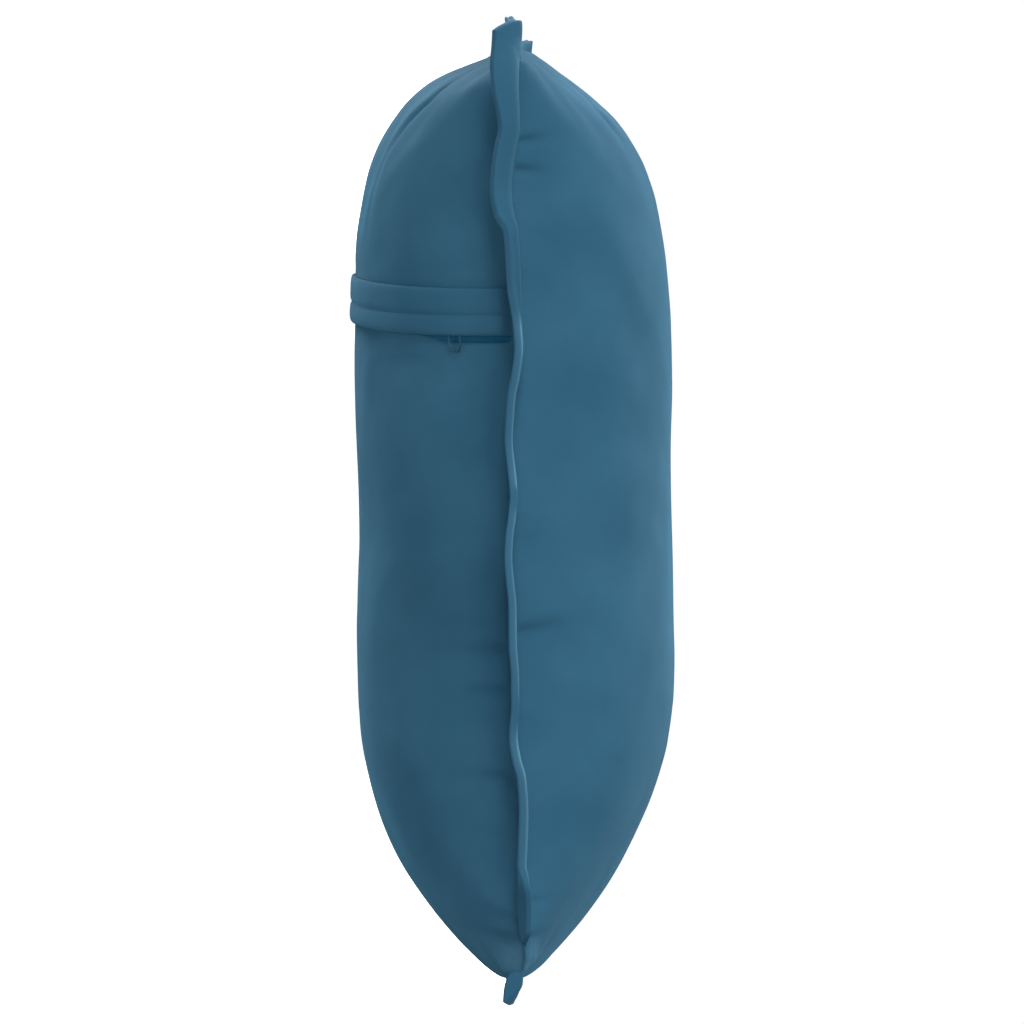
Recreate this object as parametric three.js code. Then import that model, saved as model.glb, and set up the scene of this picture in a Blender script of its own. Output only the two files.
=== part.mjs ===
import * as THREE from "three";

// A square cushion lying on its back, with the zip side down and the front face up.
// Millimetres. +Z is up, +Y points to the cushion's top edge and +X runs across its width.
// The origin is on the resting surface, under the middle of the whole.

// Cushion seen from above: the seam is a square whose sides are drawn in and whose top and bottom bow out.
const CORNER_X = 270;
const SIDE_DRAWN_IN = 6;
const TOP_CORNER_Y = 267.6;
const TOP_BOW = 9.5;
const BOTTOM_CORNER_Y = -263;
const BOTTOM_BOW = 14.5;

// The seam pulls the cloth into a groove between the front and the back lobe.
const GROOVE_X = 7;
const GROOVE_Y = 4;
const GROOVE_SPAN = 0.2;
const GROOVE_FADE = 0.7;

// Fullness across the width: (1 - |s|^SIDE_POWER)^SIDE_ROOT, s from -1 to 1.
const SIDE_POWER = 4;
const SIDE_ROOT = 0.488;
const FULL_DEPTH = 191;
const DIVISIONS = 44;

// Height of the seam where no wave bends it, and how much it climbs to the top edge.
const SEAM_Z = 97.5;
const SEAM_CLIMB = 5.5;
const WAVE_REACH = 0.45;
const WAVE_FADE = 2;

// Middle section from the bottom edge to the top edge: height of the back and of the front at each y.
const SECTION = [
  { y: -277.5, back: 88.5, front: 88.5 },
  { y: -275.0, back: 80.5, front: 96.5 },
  { y: -270.0, back: 74.0, front: 103.8 },
  { y: -260.5, back: 64.5, front: 113.5 },
  { y: -249.0, back: 53.5, front: 124.5 },
  { y: -236.0, back: 42.5, front: 135.5 },
  { y: -221.0, back: 32.0, front: 146.6 },
  { y: -206.0, back: 23.0, front: 155.7 },
  { y: -189.0, back: 15.0, front: 164.8 },
  { y: -172.0, back: 9.0, front: 172.6 },
  { y: -155.0, back: 4.8, front: 178.6 },
  { y: -140.0, back: 2.2, front: 182.7 },
  { y: -126.0, back: -0.1, front: 184.8 },
  { y: -110.0, back: -0.6, front: 187.0 },
  { y: -75.0, back: -0.6, front: 188.7 },
  { y: -50.0, back: 0.5, front: 188.7 },
  { y: -10.0, back: 2.4, front: 188.4 },
  { y: 30.0, back: 2.3, front: 189.3 },
  { y: 80.0, back: 2.2, front: 191.2 },
  { y: 110.0, back: 3.2, front: 191.0 },
  { y: 145.0, back: 4.2, front: 189.6 },
  { y: 165.0, back: 4.9, front: 187.4 },
  { y: 185.0, back: 7.9, front: 184.3 },
  { y: 205.0, back: 12.8, front: 177.8 },
  { y: 220.0, back: 19.0, front: 170.2 },
  { y: 234.0, back: 27.8, front: 160.6 },
  { y: 246.0, back: 37.3, front: 148.6 },
  { y: 255.0, back: 48.0, front: 137.6 },
  { y: 262.0, back: 60.5, front: 128.5 },
  { y: 267.0, back: 73.5, front: 122.5 },
  { y: 271.0, back: 84.5, front: 117.0 },
  { y: 274.5, back: 92.0, front: 112.0 },
  { y: 277.1, back: 101.5, front: 101.5 },
];

// The flange, a row per wave: height of its root and of its free edge, and how far it stands out.
// LEFT and RIGHT are at a y, TOP and BOTTOM at an x. Neighbours share their corner values.
const LEFT = [
  { at: -263, root: 87.0, edge: 79.5, wide: 4 },
  { at: -253, root: 96.0, edge: 94.5, wide: 5 },
  { at: -247, root: 95.0, edge: 94.2, wide: 17 },
  { at: -238, root: 94.5, edge: 94.8, wide: 22 },
  { at: -203, root: 94.5, edge: 94.5, wide: 22 },
  { at: -173, root: 95.5, edge: 96.5, wide: 22 },
  { at: -144, root: 94.4, edge: 95.3, wide: 22 },
  { at: -124, root: 92.6, edge: 91.8, wide: 22 },
  { at: -100, root: 93.1, edge: 93.7, wide: 22 },
  { at: -46, root: 92.8, edge: 92.8, wide: 22 },
  { at: -17, root: 92.4, edge: 91.5, wide: 22 },
  { at: 15, root: 95.5, edge: 95.8, wide: 22 },
  { at: 47, root: 94.2, edge: 93.4, wide: 22 },
  { at: 101, root: 99.7, edge: 100.5, wide: 22 },
  { at: 151, root: 99.4, edge: 98.0, wide: 22 },
  { at: 168, root: 100.1, edge: 95.2, wide: 22 },
  { at: 186, root: 97.8, edge: 87.5, wide: 20 },
  { at: 209, root: 99.7, edge: 89.6, wide: 20 },
  { at: 232, root: 103.0, edge: 94.2, wide: 20 },
  { at: 267.6, root: 102.9, edge: 91.5, wide: 15 },
];
const RIGHT = [
  { at: -263, root: 90.0, edge: 86.0, wide: 14 },
  { at: -215, root: 92.0, edge: 90.0, wide: 21 },
  { at: -180, root: 94.0, edge: 97.0, wide: 22 },
  { at: -140, root: 93.0, edge: 91.5, wide: 22 },
  { at: -95, root: 94.0, edge: 96.5, wide: 22 },
  { at: -50, root: 93.0, edge: 90.0, wide: 22 },
  { at: -5, root: 95.5, edge: 98.0, wide: 22 },
  { at: 40, root: 95.0, edge: 92.5, wide: 22 },
  { at: 85, root: 98.0, edge: 100.5, wide: 22 },
  { at: 125, root: 98.0, edge: 95.0, wide: 22 },
  { at: 170, root: 100.5, edge: 103.5, wide: 22 },
  { at: 215, root: 102.0, edge: 99.0, wide: 21 },
  { at: 267.6, root: 106.0, edge: 112.0, wide: 14 },
];
const TOP = [
  { at: -270, root: 102.9, edge: 91.5, wide: 19 },
  { at: -240, root: 103.0, edge: 99.0, wide: 22 },
  { at: -205, root: 103.0, edge: 104.5, wide: 22 },
  { at: -155, root: 102.0, edge: 103.0, wide: 21.5 },
  { at: -100, root: 101.0, edge: 97.5, wide: 24 },
  { at: -55, root: 101.0, edge: 98.5, wide: 23 },
  { at: 10, root: 101.5, edge: 104.0, wide: 21.5 },
  { at: 70, root: 102.0, edge: 105.0, wide: 21 },
  { at: 130, root: 102.5, edge: 99.0, wide: 21 },
  { at: 200, root: 104.0, edge: 103.0, wide: 21 },
  { at: 270, root: 106.0, edge: 112.0, wide: 20 },
];
const BOTTOM = [
  { at: -270, root: 87.0, edge: 79.5, wide: 20 },
  { at: -235, root: 89.0, edge: 83.5, wide: 20 },
  { at: -120, root: 89.5, edge: 88.5, wide: 18 },
  { at: -20, root: 89.5, edge: 86.5, wide: 18 },
  { at: 90, root: 89.5, edge: 89.0, wide: 18 },
  { at: 190, root: 89.8, edge: 86.5, wide: 18 },
  { at: 270, root: 90.0, edge: 86.0, wide: 16 },
];

// Section of the flange: share of the width from the root, and half of the thickness there.
// The free edge is two folds of cloth with a groove between them.
const FLANGE_SECTION = [
  { out: 0.0, half: 1.1 },
  { out: 0.72, half: 2.0 },
  { out: 0.93, half: 2.6 },
  { out: 1.0, half: 1.6 },
  { out: 0.965, half: 0.0 },
];
const FLANGE_ROOT_GAP = 1.1;
const FLANGE_BEND = 1.4;
const FLANGE_LEAST = 0.7;
const CORNER_FAN = 35;

// Corner folds: a valley pressed into one face, with its end points in x and y, its depth and half width.
// A fold fades before it reaches the seam.
const FOLDS = [
  { face: -1, x0: -207, y0: 266, x1: -150, y1: 178, depth: 4.2, half: 12 },
  { face: 1, x0: -218, y0: 262, x1: -186, y1: 214, depth: 2.5, half: 12 },
  { face: -1, x0: 207, y0: 266, x1: 158, y1: 178, depth: 3.6, half: 12 },
  { face: 1, x0: 212, y0: 262, x1: 180, y1: 205, depth: 3.0, half: 12 },
  { face: -1, x0: -214, y0: -258, x1: -176, y1: -196, depth: 2.6, half: 12 },
  { face: 1, x0: 208, y0: -260, x1: 172, y1: -190, depth: 3.0, half: 12 },
];
const FOLD_FADE = 3;

// Zip cover: a folded strip across the back. Its top edge drops towards the sides.
const FLAP_TOP_Y = 145.6;
const FLAP_DROP = 11;
// Section of the strip: distance down from its top edge, and height above the cloth under it.
const FLAP_SECTION = [
  { down: 0.3, up: 0.7 },
  { down: 0.0, up: 1.4 },
  { down: 2.0, up: 2.3 },
  { down: 8.0, up: 3.1 },
  { down: 13.8, up: 2.9 },
  { down: 15.4, up: 1.9 },
  { down: 16.8, up: 3.2 },
  { down: 20.5, up: 4.0 },
  { down: 25.0, up: 4.0 },
  { down: 27.6, up: 3.0 },
  { down: 28.1, up: 1.9 },
  { down: 27.0, up: 0.7 },
];
const FLAP_END = 1;
const SLOPE_STEP = 1e-3;

// Zip tape: the part that shows below the lip of the cover.
const TAPE_SECTION = [
  { down: 28.6, up: 0.5 },
  { down: 28.6, up: 1.3 },
  { down: 31.4, up: 1.3 },
  { down: 31.4, up: 0.5 },
];

// Zip pull: a wire loop that hangs below the lip near the left side.
const PULL_S = -0.966;
const PULL_TOP = 29.2;
const PULL_LONG = 8.0;
const PULL_HALF = 2.6;
const PULL_WIRE = 0.65;
const PULL_UP = 2.4;
const PULL_SAG = 0.9;
const PULL_STEPS = 20;
const PULL_SIDES = 6;
const PULL_SQUARE = 0.75;

// The cloth is a blue velvet. The pull is metal with a coat of the same blue.
const CLOTH_COLOUR = 0x3b6a88;
const PULL_COLOUR = 0x41708d;

const smooth = (f) => {
  const g = Math.min(1, Math.max(0, f));
  return g * g * (3 - 2 * g);
};

// Slope of a table's column at row i, zero where the column turns.
function slope(rows, key, column, i) {
  const last = rows.length - 1;
  const rise = (k) => (rows[k + 1][column] - rows[k][column]) / (rows[k + 1][key] - rows[k][key]);
  if (i === 0) {
    return rise(0);
  }
  if (i === last) {
    return rise(last - 1);
  }
  const before = rise(i - 1);
  const after = rise(i);
  return before * after > 0 ? (2 * before * after) / (before + after) : 0;
}

// Smooth curve through one column of a table, without overshoot.
function curve(rows, key, column, at) {
  const last = rows.length - 1;
  if (at <= rows[0][key]) {
    return rows[0][column];
  }
  if (at >= rows[last][key]) {
    return rows[last][column];
  }
  let i = 0;
  while (rows[i + 1][key] < at) {
    i += 1;
  }
  const step = rows[i + 1][key] - rows[i][key];
  const f = (at - rows[i][key]) / step;
  const lift = rows[i][column] * (2 * f ** 3 - 3 * f ** 2 + 1);
  const lift2 = rows[i + 1][column] * (3 * f ** 2 - 2 * f ** 3);
  const lean = slope(rows, key, column, i) * step * (f ** 3 - 2 * f ** 2 + f);
  const lean2 = slope(rows, key, column, i + 1) * step * (f ** 3 - f ** 2);
  return lift + lift2 + lean + lean2;
}

// s runs across the width and t from the bottom edge to the top edge, both from -1 to 1.
const seamX = (t) => CORNER_X - SIDE_DRAWN_IN * (1 - t * t);
const topY = (s) => TOP_CORNER_Y + TOP_BOW * (1 - s * s);
const bottomY = (s) => BOTTOM_CORNER_Y - BOTTOM_BOW * (1 - s * s);
const planY = (s, t) => bottomY(s) + ((t + 1) / 2) * (topY(s) - bottomY(s));
const atY = (s, y) => (2 * (y - bottomY(s))) / (topY(s) - bottomY(s)) - 1;
const sideFullness = (s) => Math.max(0, 1 - Math.abs(s) ** SIDE_POWER) ** SIDE_ROOT;

// Height of the seam surface: a plane, bent near each side to follow that side's waves.
function seamHeight(s, t) {
  const plane = (v) => SEAM_Z + SEAM_CLIMB * v;
  const near = (v) => Math.max(0, (v - 1 + WAVE_REACH) / WAVE_REACH) ** WAVE_FADE;
  const sides = [near(-s), near(s)];
  const ends = [near(-t), near(t)];
  const left = curve(LEFT, "at", "root", planY(-1, t)) - plane(t);
  const right = curve(RIGHT, "at", "root", planY(1, t)) - plane(t);
  const bottom = curve(BOTTOM, "at", "root", s * CORNER_X) - plane(-1);
  const top = curve(TOP, "at", "root", s * CORNER_X) - plane(1);
  let z = plane(t) + sides[0] * left + sides[1] * right + ends[0] * bottom + ends[1] * top;
  z -= sides[0] * ends[0] * (LEFT[0].root - plane(-1));
  z -= sides[0] * ends[1] * (TOP[0].root - plane(1));
  z -= sides[1] * ends[0] * (RIGHT[0].root - plane(-1));
  z -= sides[1] * ends[1] * (TOP[TOP.length - 1].root - plane(1));
  return z;
}

// How deep the folds press into a face at a place.
function foldDepth(face, x, y) {
  let depth = 0;
  for (const fold of FOLDS) {
    if (fold.face !== face) {
      continue;
    }
    const dx = fold.x1 - fold.x0;
    const dy = fold.y1 - fold.y0;
    const f = ((x - fold.x0) * dx + (y - fold.y0) * dy) / (dx * dx + dy * dy);
    const g = Math.min(1, Math.max(0, f));
    const away = Math.hypot(x - fold.x0 - g * dx, y - fold.y0 - g * dy);
    depth += fold.depth * Math.sqrt(1 - g) * Math.exp(-((away / fold.half) ** 2));
  }
  return depth;
}

// A point of the cushion's surface: face is 1 for the front and -1 for the back.
function surface(face, s, t) {
  const level = planY(0, t);
  const middle = curve(SECTION, "y", face > 0 ? "front" : "back", level);
  const depth = curve(SECTION, "y", "front", level) - curve(SECTION, "y", "back", level);
  const across = sideFullness(s);
  const full = depth / FULL_DEPTH;
  const pullX = GROOVE_X * (1 - smooth(across / GROOVE_SPAN)) * smooth(full / GROOVE_FADE);
  const pullY = GROOVE_Y * (1 - smooth(full / GROOVE_SPAN)) * smooth(across / GROOVE_FADE);
  const x = s * seamX(t) - Math.sign(s) * pullX;
  const y = planY(s, t) - Math.sign(t) * pullY;
  let z = seamHeight(s, t) + (middle - seamHeight(0, t)) * across;
  z -= face * foldDepth(face, x, y) * smooth(across * FOLD_FADE) * smooth(full * FOLD_FADE);
  return new THREE.Vector3(x, y, Math.max(0, z));
}

// Outward direction of the surface, from two short steps along it.
function outward(face, u, t) {
  const at = (du, dt) => surface(face, Math.sin(((u + du) * Math.PI) / 2), t + dt);
  const along = at(SLOPE_STEP, 0).sub(at(-SLOPE_STEP, 0));
  const up = at(0, SLOPE_STEP).sub(at(0, -SLOPE_STEP));
  return along.cross(up).normalize().multiplyScalar(face);
}

// Stations crowd towards the sides, where the surface turns fastest.
const station = (i) => Math.sin((((2 * i) / DIVISIONS - 1) * Math.PI) / 2);

// A closed mesh from rings of points, joined in order. Open tubes get flat ends.
function tube(rings, closed) {
  const count = rings[0].length;
  const points = rings.flat();
  const index = [];
  const last = closed ? rings.length : rings.length - 1;
  for (let i = 0; i < last; i += 1) {
    const a = i * count;
    const b = ((i + 1) % rings.length) * count;
    for (let j = 0; j < count; j += 1) {
      const k = (j + 1) % count;
      index.push(a + j, b + j, b + k, a + j, b + k, a + k);
    }
  }
  if (!closed) {
    const end = (rings.length - 1) * count;
    for (const [a, b, c] of capFaces(count)) {
      index.push(a, b, c);
      index.push(end + a, end + c, end + b);
    }
  }
  return solid(points, index);
}

// An end cap as a zigzag between the two runs of a section.
function capFaces(count) {
  const faces = [];
  let low = 0;
  let high = count - 1;
  while (high - low > 1) {
    faces.push([low, low + 1, high]);
    low += 1;
    if (high - low > 1) {
      faces.push([low, high - 1, high]);
      high -= 1;
    }
  }
  return faces;
}

// Geometry from points and triangles, turned inside out if its volume is negative.
function solid(points, index) {
  let volume = 0;
  for (let i = 0; i < index.length; i += 3) {
    const [a, b, c] = [points[index[i]], points[index[i + 1]], points[index[i + 2]]];
    volume += a.dot(b.clone().cross(c));
  }
  const order = volume < 0 ? index.slice().reverse() : index;
  const geometry = new THREE.BufferGeometry();
  const flat = points.flatMap((p) => [p.x, p.y, p.z]);
  geometry.setAttribute("position", new THREE.Float32BufferAttribute(flat, 3));
  geometry.setIndex(order);
  return geometry;
}

// The cushion: a front and a back sheet of points that share the seam.
function cushion() {
  const size = DIVISIONS + 1;
  const points = [];
  const index = [];
  const onSeam = (i, j) => i === 0 || j === 0 || i === DIVISIONS || j === DIVISIONS;
  const number = [new Map(), new Map()];
  for (let side = 0; side < 2; side += 1) {
    for (let i = 0; i < size; i += 1) {
      for (let j = 0; j < size; j += 1) {
        const key = i * size + j;
        if (side === 1 && onSeam(i, j)) {
          number[1].set(key, number[0].get(key));
          continue;
        }
        number[side].set(key, points.length);
        points.push(surface(side === 0 ? 1 : -1, station(i), station(j)));
      }
    }
  }
  for (let side = 0; side < 2; side += 1) {
    const at = (i, j) => number[side].get(i * size + j);
    for (let i = 0; i < DIVISIONS; i += 1) {
      for (let j = 0; j < DIVISIONS; j += 1) {
        const quad = [at(i, j), at(i + 1, j), at(i + 1, j + 1), at(i, j + 1)];
        const order = side === 0 ? quad : quad.reverse();
        const cut = i < DIVISIONS / 2 === j < DIVISIONS / 2 ? side : 1 - side;
        const [a, b, c, d] = cut === 0 ? order : [order[1], order[2], order[3], order[0]];
        index.push(a, b, c, a, c, d);
      }
    }
  }
  return solid(points, index);
}

// The seam's stations in order round the cushion, each with the flange's own sizes there.
function seamStations() {
  const list = [];
  const onEnd = (v) => (Math.abs(v) === 1 ? v : 0);
  const add = (s, t, rows, at, dx, dy) => {
    const root = surface(1, s, t);
    root.x += FLANGE_ROOT_GAP * onEnd(s);
    root.y += FLANGE_ROOT_GAP * onEnd(t);
    list.push({ root, edge: curve(rows, "at", "edge", at), dx, dy });
  };
  const fan = (value, corner) => Math.max(0, 1 - (Math.abs(corner) - Math.abs(value)) / CORNER_FAN) ** 2;
  for (let i = 0; i < DIVISIONS; i += 1) {
    const s = station(i);
    const wide = curve(BOTTOM, "at", "wide", s * CORNER_X);
    const side = s < 0 ? -LEFT[0].wide : RIGHT[0].wide;
    add(s, -1, BOTTOM, s * CORNER_X, side * fan(s * CORNER_X, CORNER_X), -wide);
  }
  for (let j = 0; j < DIVISIONS; j += 1) {
    const t = station(j);
    const y = planY(1, t);
    const wide = curve(RIGHT, "at", "wide", y);
    const end = t < 0 ? -BOTTOM[BOTTOM.length - 1].wide : TOP[TOP.length - 1].wide;
    add(1, t, RIGHT, y, wide, end * fan(y, t < 0 ? BOTTOM_CORNER_Y : TOP_CORNER_Y));
  }
  for (let i = DIVISIONS; i > 0; i -= 1) {
    const s = station(i);
    const wide = curve(TOP, "at", "wide", s * CORNER_X);
    const side = s < 0 ? -LEFT[LEFT.length - 1].wide : RIGHT[RIGHT.length - 1].wide;
    add(s, 1, TOP, s * CORNER_X, side * fan(s * CORNER_X, CORNER_X), wide);
  }
  for (let j = DIVISIONS; j > 0; j -= 1) {
    const t = station(j);
    const y = planY(-1, t);
    const wide = curve(LEFT, "at", "wide", y);
    const end = t < 0 ? -BOTTOM[0].wide : TOP[0].wide;
    add(-1, t, LEFT, y, -wide, end * fan(y, t < 0 ? BOTTOM_CORNER_Y : TOP_CORNER_Y));
  }
  return list;
}

// The flange: one ring of doubled cloth that stands out from the seam.
function flange() {
  const mirror = FLANGE_SECTION.slice(1, -1).reverse();
  const above = FLANGE_SECTION.map((p) => [p.out, p.half]);
  const below = mirror.map((p) => [p.out, -p.half]);
  const section = [...above, ...below, [0, -FLANGE_SECTION[0].half]];
  const rings = seamStations().map(({ root, edge, dx, dy }) => {
    const reach = Math.hypot(dx, dy);
    const out = new THREE.Vector3(dx / reach, dy / reach, 0);
    const rise = edge - root.z;
    const level = Math.max(Math.sqrt(Math.max(0, reach ** 2 - rise ** 2)), FLANGE_LEAST * reach);
    const lean = Math.atan2(rise, level);
    return section.map(([share, half]) => {
      const p = root.clone().addScaledVector(out, share * level);
      p.z += rise * share ** FLANGE_BEND;
      const tilt = lean * Math.min(1, 2 * share);
      p.addScaledVector(out, -half * Math.sin(tilt));
      p.z += half * Math.cos(tilt);
      return p;
    });
  });
  return tube(rings, true);
}

// A point over the back, given down from the zip cover's top edge and up from the cloth.
function overBack(u, down, up) {
  const s = Math.sin((u * Math.PI) / 2);
  const t = atY(s, FLAP_TOP_Y - FLAP_DROP * s * s - down);
  const p = surface(-1, s, t).addScaledVector(outward(-1, u, t), up);
  p.z = Math.max(0, p.z);
  return p;
}

// A strip across the back with a given section.
function strip(section) {
  const rings = [];
  for (let i = FLAP_END; i <= DIVISIONS - FLAP_END; i += 1) {
    const u = (2 * i) / DIVISIONS - 1;
    rings.push(section.map(({ down, up }) => overBack(u, down, up)));
  }
  return tube(rings, false);
}

// The zip pull: a wire loop lying over the cloth below the lip.
function pull() {
  const u0 = (2 * Math.asin(PULL_S)) / Math.PI;
  const middle = PULL_TOP + PULL_LONG / 2;
  const centre = overBack(u0, middle, PULL_UP);
  const t0 = atY(PULL_S, FLAP_TOP_Y - FLAP_DROP * PULL_S ** 2 - middle);
  const normal = outward(-1, u0, t0);
  const down = overBack(u0, middle + 1, PULL_UP).sub(overBack(u0, middle - 1, PULL_UP)).normalize();
  const side = down.clone().cross(normal).normalize();
  const path = [];
  for (let i = 0; i < PULL_STEPS; i += 1) {
    const angle = (2 * Math.PI * i) / PULL_STEPS;
    const c = Math.cos(angle);
    const d = Math.sin(angle);
    const across = PULL_HALF * Math.sign(c) * Math.abs(c) ** PULL_SQUARE;
    const along = (PULL_LONG / 2) * Math.sign(d) * Math.abs(d) ** PULL_SQUARE;
    const p = centre.clone().addScaledVector(side, across).addScaledVector(down, along);
    path.push(p.addScaledVector(normal, (-PULL_SAG * (1 + d)) / 2));
  }
  const rings = path.map((p, i) => {
    const next = path[(i + 1) % PULL_STEPS];
    const before = path[(i + PULL_STEPS - 1) % PULL_STEPS];
    const away = next.clone().sub(before).normalize().cross(normal).normalize();
    const ring = [];
    for (let k = 0; k < PULL_SIDES; k += 1) {
      const angle = (2 * Math.PI * k) / PULL_SIDES;
      const q = p.clone().addScaledVector(away, PULL_WIRE * Math.cos(angle));
      ring.push(q.addScaledVector(normal, PULL_WIRE * Math.sin(angle)));
    }
    return ring;
  });
  return tube(rings, true);
}

const cloth = new THREE.MeshStandardMaterial({ color: CLOTH_COLOUR, roughness: 0.9, metalness: 0 });
const coated = new THREE.MeshStandardMaterial({ color: PULL_COLOUR, roughness: 0.45, metalness: 0.2 });

const group = new THREE.Group();
const add = (name, geometry, material) => {
  const mesh = new THREE.Mesh(geometry, material);
  mesh.name = name;
  group.add(mesh);
};
add("cushion", cushion(), cloth);
add("flange", flange(), cloth);
add("zip_flap", strip(FLAP_SECTION), cloth);
add("zip_tape", strip(TAPE_SECTION), cloth);
add("zip_pull", pull(), coated);

// The origin goes under the middle of the whole.
const box = new THREE.Box3().setFromObject(group);
for (const mesh of group.children) {
  mesh.geometry.translate(-(box.min.x + box.max.x) / 2, -(box.min.y + box.max.y) / 2, -box.min.z);
}

export default group;
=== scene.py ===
import math
from collections import namedtuple

import bpy
import numpy as np
from mathutils import Matrix, Vector

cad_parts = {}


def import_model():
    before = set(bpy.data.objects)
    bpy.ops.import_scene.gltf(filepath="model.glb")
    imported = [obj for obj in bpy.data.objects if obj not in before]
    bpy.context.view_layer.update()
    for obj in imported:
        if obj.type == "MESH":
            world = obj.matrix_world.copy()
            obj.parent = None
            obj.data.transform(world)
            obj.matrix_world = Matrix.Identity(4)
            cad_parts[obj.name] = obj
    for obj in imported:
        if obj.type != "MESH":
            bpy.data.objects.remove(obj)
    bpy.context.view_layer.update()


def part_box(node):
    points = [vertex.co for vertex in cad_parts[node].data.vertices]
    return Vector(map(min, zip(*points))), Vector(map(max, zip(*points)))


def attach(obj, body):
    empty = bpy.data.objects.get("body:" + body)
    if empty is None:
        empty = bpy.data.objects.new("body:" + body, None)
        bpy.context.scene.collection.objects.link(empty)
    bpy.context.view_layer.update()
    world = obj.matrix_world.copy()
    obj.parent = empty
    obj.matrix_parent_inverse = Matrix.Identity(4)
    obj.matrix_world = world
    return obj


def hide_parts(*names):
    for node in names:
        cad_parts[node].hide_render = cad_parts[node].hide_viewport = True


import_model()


def table(kind, *values):
    """A table: each row's values under the names of its kind."""
    return [kind(*row) for row in values]


# Sizes are in millimetres, in the drawing frame of the cushion: z up from the surface it lies on,
# y to its top edge, x across its width from the middle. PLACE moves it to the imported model's.
MM = 0.001

# Cushion seen from above: the seam is a square whose sides are drawn in and whose ends bow out.
CORNER_X = 270.0
SIDE_DRAWN_IN = 6.0
TOP_CORNER_Y = 267.6
TOP_BOW = 9.5
BOTTOM_CORNER_Y = -263.0
BOTTOM_BOW = 14.5

# The faces meet at the seam at a blunt angle: each leans in by SEAM_SLOPE for each millimetre off
# the seam, which fades over SEAM_FADE and where it is thinner than GROOVE_FADE of FULL_DEPTH.
SEAM_SLOPE = 0.30
SEAM_FADE = 30.0
GROOVE_FADE = 0.7
# The tables give how far the flange stands out of the groove that the solids have at the seam.
# There is none here, so it stands out by MORE_X and MORE_Y less, and by FLANGE_SHORTEST at least.
MORE_X = 4.0
MORE_Y = 1.6
FLANGE_SHORTEST = 1.0

# Fullness across the width: (1 - |s|^SIDE_POWER)^SIDE_ROOT, s from -1 to 1.
SIDE_POWER = 4
SIDE_ROOT = 0.488
FULL_DEPTH = 191.0
# Cells of the cushion's mesh on each face.
ACROSS = 136
ALONG = 348

# Height of the seam where no wave bends it, its climb from the middle to the top edge, and how far
# in the waves of a side reach, as a share of the way to the middle.
SEAM_Z = 97.5
SEAM_CLIMB = 5.5
WAVE_REACH = 0.45
WAVE_FADE = 2

# Middle section from the bottom edge to the top edge: height of the back and the front at each y.
Level = namedtuple("Level", "y back front")
SECTION = table(
    Level,
    (-277.5, 88.5, 88.5),
    (-275.0, 80.5, 96.5),
    (-270.0, 74.0, 103.8),
    (-260.5, 64.5, 113.5),
    (-249.0, 53.5, 124.5),
    (-236.0, 42.5, 135.5),
    (-221.0, 32.0, 146.6),
    (-206.0, 23.0, 155.7),
    (-189.0, 15.0, 164.8),
    (-172.0, 9.0, 172.6),
    (-155.0, 4.7, 178.6),
    (-140.0, 1.7, 182.7),
    (-133.0, 0.75, 183.8),
    (-126.0, 0.15, 184.9),
    (-118.0, -0.25, 186.0),
    (-110.0, -0.6, 187.0),
    (-75.0, -0.6, 188.7),
    (-50.0, 0.5, 188.7),
    (-10.0, 2.4, 188.4),
    (30.0, 2.3, 189.3),
    (80.0, 2.2, 191.2),
    (110.0, 3.2, 191.0),
    (145.0, 4.2, 189.6),
    (165.0, 4.9, 187.4),
    (185.0, 7.9, 184.3),
    (205.0, 12.8, 177.8),
    (220.0, 19.0, 170.2),
    (234.0, 27.8, 160.6),
    (246.0, 37.3, 148.6),
    (255.0, 48.0, 137.6),
    (262.0, 60.5, 128.5),
    (267.0, 73.5, 122.5),
    (271.0, 84.5, 117.0),
    (274.5, 92.0, 112.0),
    (277.1, 101.5, 101.5),
)

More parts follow.
